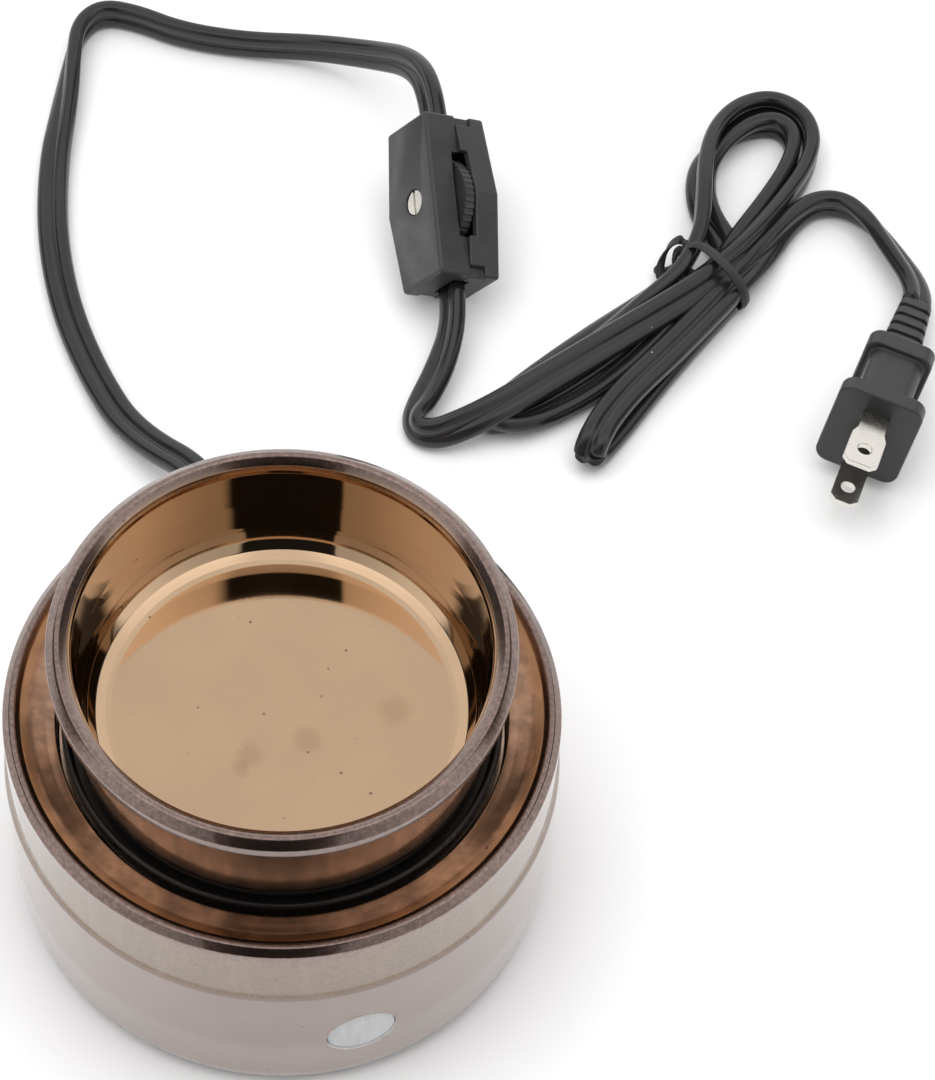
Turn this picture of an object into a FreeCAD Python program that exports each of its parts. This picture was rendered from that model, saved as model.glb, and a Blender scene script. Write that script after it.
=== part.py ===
"""Electric wax warmer: a glazed ceramic base with a hot pan, a loose melting dish, and a flat
lead with an in-line rotary switch, a tied hank and a polarised plug.

Millimetres, +Z up. The origin is on the base's axis, on the surface that the feet stand on.
The indicator lamp faces -Y, a little towards +X, and the lead leaves at the back, towards +Y.
"""
import FreeCAD, Part
import math
import os

V = FreeCAD.Vector
UP = V(0, 0, 1)

# ---------------------------------------------------------------- driving dimensions
# ceramic base
BASE_R = 55.0              # outer radius at the rim
BELLY_R = 55.9             # largest radius, low on the wall
BASE_TOP = 58.2            # top of the rim bead
BAND_LOW = 41.5            # lower edge of the textured band
BASE_LOW = 2.0             # underside of the ceramic
WALL = 4.6                 # wall thickness
WELL_R = 44.4              # well that the hot pan drops into
WELL_EDGE_Z = 54.8
LEDGE_Z = 49.5             # ledge that carries the pan
DECK_Z = 46.0              # underside of the deck
DECK_HOLE_R = 38.0

# hot pan and what is clamped under it
PAN_R = 43.6
PAN_TOP = 55.8
PAN_FLOOR = 52.0
SHEET = 1.5
PAN_UNDER = PAN_FLOOR - SHEET
PAN_SIDE = 1.2
ELEMENT_R, ELEMENT_T = 31.0, 1.3
TAB_OUT, TAB_W, TAB_T, TAB_ANGLE = 37.0, 4.0, 0.8, 18.0   # terminal tab of the element
MICA_R, MICA_T = 30.6, 0.6
PAD_R = 34.0
CENTRE_HOLE_R = 4.5
BRACKET_L, BRACKET_W, BRACKET_LIP = 84.0, 16.0, 5.0
STUD_R = 2.0
STUD_LOW = 3.2
NUT_FLATS, NUT_H = 7.0, 3.2

# melting dish
DISH_R = 45.0              # outer radius of the rim bead
DISH_TOP = 82.5
DISH_FLOOR = 56.8
DISH_FLOOR_R = 34.8
DISH_FOOT_R = 37.4
BEAD_H = 4.8
BEAD_W = 4.3

# bottom plate and feet
COVER_R, COVER_T = 50.8, 2.0
COVER_LOW = 3.0
COVER_STEP_R, COVER_STEP_H = 12.0, 4.0
FOOT_R, FOOT_CIRCLE_R = 5.0, 42.0

# indicator lamp
LAMP_ANGLE = -73.6         # degrees from +X
LAMP_Z = 22.0
LENS_R = 6.95

# lead
CORD_W, CORD_T = 7.4, 3.7  # flat twin lead, width and thickness
CORE_R = CORD_T / 2
TUBE_R = 2.6               # round stand-in with the twin lead's section area
EXIT_ANGLE = 100.0
EXIT_Z = 12.5
RELIEF_IN, RELIEF_OUT = 47.2, 72.0
FORK_AT, CAP_AT, CAP_SIDE = 30.0, 24.0, 9.0      # where the two cores part and where they are crimped
LEAD_BEND = 86.4           # distance from the axis at which the lead first turns
WIRE_R = 1.0
NEUTRAL_R = 35.9           # where the neutral wire meets the element's tab

# in-line switch, in its own frame: x through the thickness, y along, z towards the wheel side
SW_L, SW_W, SW_T = 40.0, 16.0, 16.5
SW_BULGE = 3.0
SW_WALL = 1.8
SW_CENTRE = (37.5, 159.6)
SW_HEADING, SW_PITCH, SW_ROLL = 5.0, 17.0, 30.0
WHEEL_R, WHEEL_T = 11.0, 2.4
WHEEL_SLOT_L, WHEEL_SLOT_T = 21.0, 3.6
POST_R = 2.9
RUN_FIT = 0.05             # radial clearance of the wheel on its post

# plug, in its own frame: x along the blades' width, y back to the lead, z up the blade stack
PLUG_W, PLUG_H, PLUG_FACE_T = 19.4, 23.8, 4.0
PLUG_BACK_Y, PLUG_BACK_W, PLUG_BACK_H, PLUG_BACK_T = 18.0, 15.5, 22.0, 4.6
PLUG_WAIST_W, PLUG_WAIST_H = 12.3, 19.6
PLUG_FACE = (130.3, 94.7)
PLUG_NOSE = (-0.350, -0.918, 0.180)
PLUG_UP = (0.170, 0.130, 0.977)
PLUG_RELIEF_L = 24.0
PLUG_RIBS = 8
BLADE_GAP = 12.7           # centre to centre
BLADE_W, BLADE_WIDE, BLADE_T, BLADE_L = 6.35, 7.92, 1.5, 16.6
BLADE_HOLE_R, BLADE_HOLE_Y = 1.6, 11.7

# hank: five strands under one tie
HANK_H = 9.6
TIE_W, TIE_T = 3.4, 1.1
TIE_HALF = 10.6            # half the width of the bundle under the tie
TIE_AT = (99.2, 145.9)
TIE_ANGLE = 48.0           # direction of the strands at the tie, degrees from +X


# The lead's route, hand laid: from the relief to the switch, from the switch round the tight
# fold to the hank, and from the hank to the plug. Each ends at a point of its neighbour's frame.
LEAD_ROUTE = [
    (-34.0, 103.2, 4.5), (-43.0, 120.5, 2.8), (-50.4, 140.2, 2.8), (-54.4, 162.0, 2.8),
    (-54.8, 184.5, 2.8), (-52.6, 202.5, 2.8), (-51.4, 216.5, 3.2), (-50.0, 226.0, 3.8),
    (-44.6, 231.4, 4.2), (-36.0, 229.6, 4.0), (-24.6, 223.8, 3.8), (-8.8, 220.4, 4.0),
    (7.6, 217.8, 6.0), (21.6, 209.6, 12.5), (31.2, 200.2, 20.5)]
LINK_ROUTE = [
    (37.2, 121.6, 5.0), (32.8, 112.8, 4.0), (29.6, 107.6, 3.8), (29.8, 102.8, 3.8),
    (34.4, 101.4, 3.8), (41.2, 103.6, 4.2), (52.5, 111.0, 4.6), (64.0, 119.4, 5.2)]
END_ROUTE = [
    (108.6, 149.0, 4.4), (114.6, 157.4, 4.0), (121.2, 167.0, 3.8), (128.0, 172.6, 3.8),
    (135.6, 172.2, 4.0), (141.6, 164.6, 4.4), (145.4, 153.4, 4.8)]

# Outline of the hank on the table: the bends at the left, then the two loops at the right.
HANK_LEFT = [
    (89.5, 150.7), (78.0, 140.6), (62.0, 126.6), (50.0, 116.6), (45.6, 110.4), (47.4, 103.4),
    (57.0, 102.0), (66.4, 106.2), (65.8, 99.6), (70.0, 96.4), (75.4, 97.2), (85.4, 108.8),
    (97.6, 126.4), (104.9, 136.7)]
HANK_RIGHT = [
    (108.9, 141.2), (117.4, 153.0), (123.0, 163.4), (128.4, 176.5), (130.6, 189.5), (127.2, 199.6),
    (120.0, 204.6), (111.0, 204.0), (102.6, 196.4), (96.6, 184.0), (94.4, 172.0), (93.5, 155.1)]


# ---------------------------------------------------------------- helpers
def save(name, shape):
    """One STEP file for one node."""
    os.makedirs("parts", exist_ok=True)
    if shape.ShapeType == "Compound" and len(shape.Solids) == 1:
        shape = shape.Solids[0]
    shape.exportStep("parts/" + name + ".step")
    print(f"{name:18s} solids {len(shape.Solids)}  volume {shape.Volume:10.1f}  valid {shape.isValid()}")


def cylinder(r, z0, z1, x=0.0, y=0.0):
    return Part.makeCylinder(r, z1 - z0, V(x, y, z0))


def ring(r_in, r_out, z0, z1):
    return cylinder(r_out, z0, z1).cut(cylinder(r_in, z0 - 1, z1 + 1))


def box(x0, x1, y0, y1, z0, z1):
    return Part.makeBox(x1 - x0, y1 - y0, z1 - z0, V(x0, y0, z0))


def turned(start, steps):
    """Solid of revolution about Z. A step is (r, z), or (mid r, mid z, r, z) for an arc."""
    edges = []
    here = V(start[0], 0, start[1])
    first = here
    for step in steps:
        there = V(step[-2], 0, step[-1])
        if len(step) == 4:
            edges.append(Part.Arc(here, V(step[0], 0, step[1]), there).toShape())
        else:
            edges.append(Part.makeLine(here, there))
        here = there
    if here.distanceToPoint(first) > 1e-6:
        edges.append(Part.makeLine(here, first))
    return Part.Face(Part.Wire(edges)).revolve(V(0, 0, 0), UP, 360)


def prism(points, z0, z1):
    """Straight extrusion of a closed outline."""
    corners = [V(x, y, z0) for x, y in points]
    return Part.Face(Part.makePolygon(corners + corners[:1])).extrude(V(0, 0, z1 - z0))


def hexagon(flats, z0, z1):
    r = flats / 2 / math.cos(math.pi / 6)
    return prism([(r * math.cos(a * math.pi / 3), r * math.sin(a * math.pi / 3)) for a in range(6)], z0, z1)


def along(shape, angle, z):
    """Put a shape built about Z on a radial line at this angle, its Z pointing outwards."""
    placed = shape.copy()
    turn = FreeCAD.Rotation(UP, angle) * FreeCAD.Rotation(V(0, 1, 0), 90)
    placed.Placement = FreeCAD.Placement(V(0, 0, z), turn)
    return placed


def route_edges(points, name=""):
    """Straight runs joined by tangent arcs as large as the runs allow."""
    pts = [V(*p) for p in points]
    edges = []
    radii = []
    here = pts[0]
    for before, point, after in zip(pts, pts[1:], pts[2:]):
        back = before.sub(point)
        ahead = after.sub(point)
        reach = 0.45 * min(back.Length, ahead.Length)
        u, w = V(back).normalize(), V(ahead).normalize()
        turn = math.pi - u.getAngle(w)
        radius = reach / math.tan(turn / 2)
        radii.append(radius)
        start = point + u * reach
        end = point + w * reach
        middle = point + V(u + w).normalize() * (radius / math.cos(turn / 2) - radius)
        edges.append(Part.LineSegment(here, start).toShape())
        edges.append(Part.Arc(start, middle, end).toShape())
        here = end
    edges.append(Part.LineSegment(here, pts[-1]).toShape())
    if name:
        print(name, "bend radii", " ".join(f"{r:.0f}" for r in radii))
    return edges


def tube(points, r, name=""):
    """Round tube along a route."""
    path = Part.Wire(route_edges(points, name))
    first = V(*points[0])
    direction = V(*points[1]).sub(first)
    section = Part.Wire([Part.makeCircle(r, first, direction)])
    solid = path.makePipeShell([section], True, False)
    if name:
        print(name, f"length {path.Length:.0f}  volume / (section x length) "
              f"{solid.Volume / (math.pi * r * r * path.Length):.4f}")
    return solid


def frame_of(x_axis, y_axis, z_axis, origin):
    matrix = FreeCAD.Matrix(x_axis.x, y_axis.x, z_axis.x, origin.x,
                            x_axis.y, y_axis.y, z_axis.y, origin.y,
                            x_axis.z, y_axis.z, z_axis.z, origin.z,
                            0, 0, 0, 1)
    return FreeCAD.Placement(matrix)


def moved(shape, placement):
    placed = shape.copy()
    placed.Placement = placement
    return placed


# ---------------------------------------------------------------- ceramic base
def ceramic_body():
    outer = turned((BASE_R - WALL + 0.6, BASE_LOW), [
        (BASE_R - 3.0, BASE_LOW),
        (BASE_R - 0.9, BASE_LOW + 1.2, BASE_R - 0.1, BASE_LOW + 4.0),
        (BELLY_R, BASE_LOW + 17.0, BASE_R + 0.5, BAND_LOW - 0.7),
        (BASE_R - 0.1, BAND_LOW - 0.2),
        (BASE_R + 0.1, BAND_LOW + 0.5),
        (BASE_R, BASE_TOP - 1.5),
        (BASE_R - 1.4, BASE_TOP, BASE_R - 2.6, BASE_TOP - 0.7),
        (BASE_R - 3.6, BASE_TOP - 2.0),
        (WELL_R + 2.4, WELL_EDGE_Z + 0.1, WELL_R, WELL_EDGE_Z - 0.6),
        (WELL_R, LEDGE_Z),
        (DECK_HOLE_R, LEDGE_Z),
        (DECK_HOLE_R, DECK_Z),
        (BASE_R - WALL - 4.0, DECK_Z),
        (BASE_R - WALL - 0.8, DECK_Z - 1.6, BASE_R - WALL + 0.2, DECK_Z - 5.0),
        (BELLY_R - WALL, LAMP_Z),
        (BASE_R - WALL - 0.8, COVER_LOW + COVER_T),
        (COVER_R + 0.2, COVER_LOW + COVER_T),
        (COVER_R + 0.2, BASE_LOW),
    ])
    lamp_hole = along(cylinder(LENS_R + 0.05, 40, 62), LAMP_ANGLE, LAMP_Z)
    cord_hole = along(cylinder(4.75, 40, 62), EXIT_ANGLE, EXIT_Z)
    return outer.cut(lamp_hole).cut(cord_hole)


def melting_dish():
    wall_top = DISH_TOP - BEAD_H
    bead_mid = DISH_R - BEAD_W / 2
    return turned((0, PAN_FLOOR), [
        (DISH_FOOT_R, PAN_FLOOR),
        (DISH_FOOT_R + 3.0, PAN_FLOOR + 1.4, DISH_FOOT_R + 4.0, PAN_FLOOR + 4.6),
        (DISH_R - 1.9, wall_top - 0.6),
        (DISH_R - 1.5, wall_top - 0.1, DISH_R - 1.0, wall_top),
        (DISH_R - 0.2, wall_top + 0.3, DISH_R, wall_top + 1.4),
        (DISH_R, DISH_TOP - 1.9),
        (bead_mid, DISH_TOP, DISH_R - BEAD_W, DISH_TOP - 1.6),
        (DISH_R - BEAD_W - 0.4, DISH_TOP - 2.8),
        (DISH_FLOOR_R + 3.2, DISH_FLOOR + 4.4),
        (DISH_FLOOR_R + 2.3, DISH_FLOOR + 1.2, DISH_FLOOR_R, DISH_FLOOR),
        (0, DISH_FLOOR),
    ])


# ---------------------------------------------------------------- heater stack
def heating_pan():
    inner = PAN_R - PAN_SIDE
    return turned((0, PAN_UNDER), [
        (PAN_R - 1.4, PAN_UNDER),
        (PAN_R - 0.4, PAN_UNDER + 0.4, PAN_R, PAN_UNDER + 1.4),
        (PAN_R, PAN_TOP - 0.6),
        (PAN_R - PAN_SIDE / 2, PAN_TOP, inner, PAN_TOP - 0.6),
        (inner, PAN_FLOOR + 0.8),
        (inner - 0.2, PAN_FLOOR + 0.2, inner - 0.8, PAN_FLOOR),
        (0, PAN_FLOOR),
    ])


def clamp_bracket():
    """Bar across the well's hole, with stiffening lips turned down along both sides."""
    half_l, half_w = BRACKET_L / 2, BRACKET_W / 2
    bar = box(-half_l, half_l, -half_w, half_w, DECK_Z - SHEET, DECK_Z)
    for side in (-1, 1):
        edge = side * half_w
        low, high = sorted((edge, edge - side * SHEET))
        lip = box(-half_l + 14, half_l - 14, low, high, DECK_Z - BRACKET_LIP, DECK_Z - SHEET)
        bar = bar.fuse(lip)
    return bar.removeSplitter().cut(cylinder(STUD_R + 0.25, DECK_Z - 5, DECK_Z + 1))


def hex_nut(top):
    nut = hexagon(NUT_FLATS, top - NUT_H, top)
    return nut.cut(cylinder(STUD_R, top - NUT_H - 1, top + 1))


def build_heater():
    save("heating_pan", heating_pan())
    save("pan_gasket", ring(DECK_HOLE_R + 0.5, PAN_R - 2.0, LEDGE_Z, PAN_UNDER))
    z = PAN_UNDER
    tab = box(ELEMENT_R - 0.8, TAB_OUT, -TAB_W / 2, TAB_W / 2, z - ELEMENT_T, z - ELEMENT_T + TAB_T)
    tab.rotate(V(0, 0, 0), UP, TAB_ANGLE)
    plate = ring(CENTRE_HOLE_R, ELEMENT_R, z - ELEMENT_T, z)
    save("heating_element", plate.fuse(tab).removeSplitter())
    z -= ELEMENT_T
    save("mica_sheet", ring(CENTRE_HOLE_R, MICA_R, z - MICA_T, z))
    z -= MICA_T
    save("insulation_pad", ring(CENTRE_HOLE_R, PAD_R, DECK_Z, z))
    save("clamp_bracket", clamp_bracket())
    save("centre_stud", cylinder(STUD_R, STUD_LOW, PAN_UNDER))
    washer_low = DECK_Z - SHEET - 0.8
    save("stud_washer", ring(STUD_R + 0.15, 4.5, washer_low, DECK_Z - SHEET))
    save("stud_nut", hex_nut(washer_low))
    fuse_y, fuse_z, fuse_r, sleeve_r = 17.0, DECK_Z - 2.7, 2.0, 2.7
    axis = V(1, 0, 0)
    body = Part.makeCylinder(fuse_r, 11, V(-5.5, fuse_y, fuse_z), axis)
    leads = Part.makeCylinder(0.5, 36, V(-18, fuse_y, fuse_z), axis)
    save("thermal_fuse", body.fuse(leads))
    sleeve = Part.makeCylinder(sleeve_r, 26, V(-13, fuse_y, fuse_z), axis)
    save("fuse_sleeve", sleeve.cut(Part.makeCylinder(fuse_r + 0.05, 28, V(-14, fuse_y, fuse_z), axis)))


# ---------------------------------------------------------------- bottom plate, feet, lamp
def build_bottom():
    low, high = COVER_LOW, COVER_LOW + COVER_T
    step = COVER_STEP_R
    cover = turned((0, low + COVER_STEP_H), [
        (step, low + COVER_STEP_H), (step + 3, low), (COVER_R, low), (COVER_R, high),
        (step + 4, high), (step + 1, high + COVER_STEP_H), (0, high + COVER_STEP_H)])
    cover = cover.cut(cylinder(STUD_R + 0.2, 0, 12))
    screw_spots = []
    clamp_mid = 39.0
    for side in (-1, 1):
        screw_spots.append((clamp_mid, side * 8.0))
    spread = FreeCAD.Rotation(UP, EXIT_ANGLE)
    screws = []
    top = EXIT_Z + 3.6
    clamp = box(clamp_mid - 4, clamp_mid + 4, -11, 11, high, top)
    clamp = clamp.cut(box(clamp_mid - 5, clamp_mid + 5, -CORD_W / 2 - 0.1, CORD_W / 2 + 0.1,
                          EXIT_Z - CORE_R - 0.1, EXIT_Z + CORE_R + 0.1))
    for x, y in screw_spots:
        hole = cylinder(1.5, 0, top + 1, x, y)
        clamp = clamp.cut(hole)
        cover = cover.cut(moved(hole, FreeCAD.Placement(V(0, 0, 0), spread)))
        screw = cylinder(1.5, low + 0.3, top, x, y).fuse(cylinder(2.8, top, top + 1.8, x, y))
        screws.append(screw.cut(box(x - 3, x + 3, y - 0.35, y + 0.35, top + 1, top + 2)))
    turn = FreeCAD.Placement(V(0, 0, 0), spread)
    save("base_cover", cover)
    save("cord_clamp", moved(clamp, turn))
    save("clamp_screws", moved(Part.makeCompound(screws), turn))
    save("cover_nut", hex_nut(COVER_LOW + COVER_STEP_H))
    feet = []
    for quarter in range(4):
        a = math.radians(45 + 90 * quarter)
        foot = cylinder(FOOT_R, 0, COVER_LOW, FOOT_CIRCLE_R * math.cos(a), FOOT_CIRCLE_R * math.sin(a))
        feet.append(foot.makeChamfer(0.5, [foot.Edges[2]]))
    save("rubber_feet", Part.makeCompound(feet))


def build_lamp():
    face = BELLY_R - 0.5
    lens = turned((0, 48.0), [
        (8.2, 48.0), (8.2, 49.6), (LENS_R, 49.6), (LENS_R, face - 1.0),
        (LENS_R * 0.62, face + 0.1, 0.5, face + 0.4), (0, face + 0.4)])
    holder = ring(4.4, 6.2, 33.0, 48.0)
    lamp = turned((0, 35.0), [(3.0, 35.0), (3.0, 43.5), (2.2, 45.7, 0.4, 46.6), (0, 46.6)])
    resistor = cylinder(1.3, 22.0, 29.0).fuse(cylinder(0.35, 19.0, 35.0))
    for name, shape in (("indicator_lens", lens), ("lamp_holder", holder), ("neon_lamp", lamp),
                        ("lamp_resistor", resistor)):
        save(name, along(shape, LAMP_ANGLE, LAMP_Z))


# ---------------------------------------------------------------- lead inside and outside
def radial(distance, side, z):
    a = math.radians(EXIT_ANGLE)
    return (distance * math.cos(a) - side * math.sin(a), distance * math.sin(a) + side * math.cos(a), z)


def build_inner_wires():
    cores = []
    caps = []
    tips = []
    for side in (-1, 1):
        fork = radial(FORK_AT, side * 1.9, EXIT_Z)
        mouth = V(*radial(CAP_AT, side * CAP_SIDE, EXIT_Z + 1.5))
        heading = mouth.sub(V(*fork)).normalize()
        cores.append(tube([radial(RELIEF_IN, side * 1.9, EXIT_Z), fork, tuple(mouth)], CORE_R))
        caps.append(Part.makeCylinder(3.4, 13.0, mouth, heading))
        tips.append(mouth + heading * 13.0)
    save("cord_cores", Part.makeCompound(cores))
    save("crimp_caps", Part.makeCompound(caps))
    right, left = tips
    both_caps = Part.makeCompound(caps)
    live = tube([tuple(left), (-24.0, 8.0, 18.0), (-26.0, 10.0, 32.0), (-25.0, 17.0, DECK_Z - 2.7),
                 (-18.0, 17.0, DECK_Z - 2.7)], WIRE_R)
    save("wire_live", live.cut(both_caps))
    a = math.radians(TAB_ANGLE)
    x, y = NEUTRAL_R * math.cos(a), NEUTRAL_R * math.sin(a)
    neutral = tube([tuple(right), (24.0, 8.0, 18.0), (32.0, 11.0, 28.0), (x, y, 37.0),
                    (x, y, PAN_UNDER - ELEMENT_T)], WIRE_R - 0.1)
    save("wire_neutral", neutral.cut(both_caps))


def relief():
    """Tapered bushing of the base: inner flange, neck in the wall, ribbed tail outside."""
    tail = BELLY_R + 0.4
    steps = [(5.8, RELIEF_IN), (5.8, RELIEF_IN + 1.6), (4.7, RELIEF_IN + 1.6), (4.7, tail), (6.0, tail),
             (6.0, tail + 2.4)]
    ribs = 5
    pitch = (RELIEF_OUT - tail - 2.4) / ribs
    for i in range(ribs):
        z = tail + 2.4 + i * pitch
        r = 5.6 - 1.5 * i / ribs
        steps += [(r - 1.0, z), (r - 1.0, z + 1.0), (r - 0.2, z + 1.0), (r - 0.5, z + pitch)]
    steps.append((0, RELIEF_OUT))
    return along(turned((0, RELIEF_IN), steps), EXIT_ANGLE, EXIT_Z)


def hank_solid():
    block = prism(HANK_LEFT + HANK_RIGHT, 0, HANK_H)
    ring_shape, collar = tie_shapes()
    return block.cut(ring_shape), ring_shape, collar


def tie_shapes():
    """Square band let into the hank at its waist, and the two twisted ends beside it."""
    half = TIE_W / 2
    wide = TIE_HALF
    outer = box(-half, half, -wide, wide, 0, HANK_H + 0.4)
    inner = box(-half - 1, half + 1, -wide + TIE_T, wide - TIE_T, TIE_T, HANK_H + 0.4 - TIE_T)
    band = outer.cut(inner)
    ends = box(-4.6, 1.0, wide, wide + 4.6, 5.6, 7.4)
    place = FreeCAD.Placement(V(TIE_AT[0], TIE_AT[1], 0), FreeCAD.Rotation(UP, TIE_ANGLE))
    return moved(band, place), moved(ends, place)


def build_cord(switch_place):
    far_end = switch_place.multVec(V(0, SW_L / 2, 0))
    far_out = switch_place.multVec(V(0, SW_L / 2 + 9.6, 0))
    near_end = switch_place.multVec(V(0, -SW_L / 2, 0))
    near_out = switch_place.multVec(V(0, -SW_L / 2 - 8.0, 0))
    tail = PLUG_BACK_Y + PLUG_BACK_T + PLUG_RELIEF_L
    plug_end = plug_place().multVec(V(0, tail, 0))
    plug_out = plug_place().multVec(V(0, tail + 5.5, 0))
    hank, tie, ends = hank_solid()
    save("cord_relief", relief())
    save("cord_lead", tube([radial(RELIEF_OUT, 0, EXIT_Z), radial(LEAD_BEND, 0, EXIT_Z)] + LEAD_ROUTE + [tuple(far_out), tuple(far_end)], TUBE_R, "cord_lead"))
    save("cord_link", tube([tuple(near_end), tuple(near_out)] + LINK_ROUTE, TUBE_R, "cord_link").cut(hank))
    save("cord_end", tube(END_ROUTE + [tuple(plug_out), tuple(plug_end)], TUBE_R, "cord_end").cut(hank))
    save("cord_hank", hank)
    save("cord_tie", tie.fuse(ends))
    for label, at in (("switch far", far_end), ("switch near", near_end), ("plug", plug_end), ("plug out", plug_out),
                      ("switch far out", far_out), ("switch near out", near_out)):
        print(label, "cord point", [round(c, 2) for c in at])


# ---------------------------------------------------------------- in-line switch
def switch_turn():
    heading = FreeCAD.Rotation(UP, SW_HEADING)
    pitch = FreeCAD.Rotation(V(1, 0, 0), SW_PITCH)
    roll = FreeCAD.Rotation(V(0, 1, 0), SW_ROLL)
    return heading * pitch * roll


def switch_half():
    """The half on +x: a tray with a straight lower side and a bulged upper side. The half on -x
    is the same moulding turned half way round about y."""
    end, top, low = SW_L / 2, SW_W / 2, -SW_W / 2
    depth = SW_T / 2

    def outline(inset):
        return [(-end + inset, low + inset), (end - inset, low + inset), (end - inset, top - inset),
                (0, top + SW_BULGE - inset), (-end + inset, top - inset)]

    def slab(points, x0, x1):
        corners = [V(x0, y, z) for y, z in points]
        return Part.Face(Part.makePolygon(corners + corners[:1])).extrude(V(x1 - x0, 0, 0))

    shell = slab(outline(0), 0, depth)
    rounded = [e for e in shell.Edges if abs(e.Length - depth) < 1e-6 or
               all(abs(v.X - depth) < 1e-6 for v in e.Vertexes)]
    shell = shell.makeFillet(0.9, rounded)
    room = slab(outline(SW_WALL), -1, depth - SW_WALL)
    shell = shell.cut(room)
    axis = V(1, 0, 0)
    post = Part.makeCylinder(POST_R, depth - 1, V(0.06, 0, 0), axis)
    boss = Part.makeCylinder(5.0, 3.2, V(depth - 4.2, 0, 0), axis)
    shell = shell.fuse(post).fuse(boss)
    shell = shell.cut(Part.makeCylinder(1.6, SW_T, V(-1, 0, 0), axis))
    half_slot = WHEEL_SLOT_T / 2
    shell = shell.cut(box(-1, half_slot, -WHEEL_SLOT_L / 2, WHEEL_SLOT_L / 2, top - 4, top + 8))
    shell = shell.cut(box(-1, half_slot, -WHEEL_SLOT_L / 2, WHEEL_SLOT_L / 2, low - 8, low + 4))
    shell = shell.cut(box(-1, CORD_T / 2 + 0.15, -end - 1, end + 1, -CORD_W / 2 - 0.15, CORD_W / 2 + 0.15)
                      .cut(Part.makeCylinder(POST_R, SW_T, V(-2, 0, 0), axis)))
    for side in (-1, 1):
        y = side * (end - 1.2)
        shell = shell.cut(box(-1, 4.2, y - 1.3, y + 1.3, top - 1.2, top + 2))
    return shell


def build_switch():
    turn = switch_turn()
    rough = moved(switch_half(), FreeCAD.Placement(V(0, 0, 0), turn))
    flip = FreeCAD.Placement(V(0, 0, 0), FreeCAD.Rotation(V(0, 1, 0), 180))
    other = moved(switch_half(), flip)
    both = Part.makeCompound([rough, moved(other, FreeCAD.Placement(V(0, 0, 0), turn).multiply(flip))])
    height = -both.BoundBox.ZMin
    place = FreeCAD.Placement(V(SW_CENTRE[0], SW_CENTRE[1], height), turn)
    far, near = switch_half(), switch_half()
    axis = V(1, 0, 0)
    deep = SW_T / 2
    far = far.cut(Part.makeCylinder(3.3, 3, V(deep - 2.2, 0, 0), axis))
    near = near.cut(Part.makeCylinder(3.1, 3, V(deep - 1.6, 0, 0), axis))
    save("switch_case_far", moved(far, place))
    save("switch_case_near", moved(near, place.multiply(flip)))
    shank = Part.makeCylinder(1.5, SW_T - 2.6, V(-deep + 1.6, 0, 0), axis)
    head = Part.makeCylinder(2.9, 1.3, V(-deep + 0.3, 0, 0), axis)
    slot = box(-deep, -deep + 0.9, -4, 4, -0.4, 0.4)
    save("switch_screw", moved(shank.fuse(head).cut(slot), place))
    nut = hexagon(5.4, 0, 2.0).cut(cylinder(1.5, -1, 3))
    seat = FreeCAD.Placement(V(deep - 2.2, 0, 0), FreeCAD.Rotation(V(0, 1, 0), 90))
    save("switch_nut", moved(nut, place.multiply(seat)))
    build_wheel(place)
    return place


def build_wheel(place):
    axis = V(1, 0, 0)
    half = WHEEL_T / 2
    wheel = Part.makeCylinder(WHEEL_R, WHEEL_T, V(-half, 0, 0), axis)
    teeth = 44
    for i in range(teeth):
        a = 2 * math.pi * i / teeth
        notch = Part.makeCylinder(0.42, WHEEL_T + 1, V(-half - 0.5, (WHEEL_R + 0.1) * math.cos(a),
                                                       (WHEEL_R + 0.1) * math.sin(a)), axis)
        wheel = wheel.cut(notch)
    wheel = wheel.cut(Part.makeCylinder(POST_R + RUN_FIT, WHEEL_T + 1, V(-half - 0.5, 0, 0), axis))
    contact = Part.makeCylinder(6.6, 0.4, V(half, 0, 0), axis)
    contact = contact.cut(Part.makeCylinder(POST_R + 0.4, 2, V(half - 0.5, 0, 0), axis))
    save("switch_wheel", moved(wheel, place))
    save("wheel_contact", moved(contact, place))
    springs = []
    for side in (-1, 1):
        y0, y1 = sorted((side * 5.2, side * 15.0))
        leaf = box(half + 0.6, half + 0.95, y0, y1, -1.6, 1.6)
        y2, y3 = sorted((side * 14.6, side * 15.0))
        foot = box(half + 0.6, SW_T / 2 - SW_WALL, y2, y3, -1.6, 1.6)
        springs.append(leaf.fuse(foot).removeSplitter())
    save("switch_contacts", moved(Part.makeCompound(springs), place))


# ---------------------------------------------------------------- plug
def plug_frame(origin):
    back = V(*PLUG_NOSE).normalize() * -1
    side = back.cross(V(*PLUG_UP)).normalize()
    return frame_of(side, back, side.cross(back), origin)


def plug_place():
    """The plug rests on the table on its body's lowest corner."""
    x, y = PLUG_FACE
    low = moved(plug_moulding(), plug_frame(V(x, y, 0))).BoundBox.ZMin
    return plug_frame(V(x, y, -low))


def soft_block(w, h, y0, y1, corner):
    """Block with rounded corners, seen from the front, and slightly eased rims."""
    block = box(-w / 2, w / 2, y0, y1, -h / 2, h / 2)
    corners = [e for e in block.Edges if abs(e.Length - (y1 - y0)) < 1e-6]
    return block.makeFillet(corner, corners)


def plug_moulding():
    back = PLUG_BACK_Y + PLUG_BACK_T
    body = soft_block(PLUG_W, PLUG_H, 0, PLUG_FACE_T, 3.2)
    body = body.fuse(soft_block(PLUG_WAIST_W, PLUG_WAIST_H, PLUG_FACE_T, PLUG_BACK_Y, 3.0))
    body = body.fuse(soft_block(PLUG_BACK_W, PLUG_BACK_H, PLUG_BACK_Y, back, 3.0))
    return body.removeSplitter()


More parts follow.
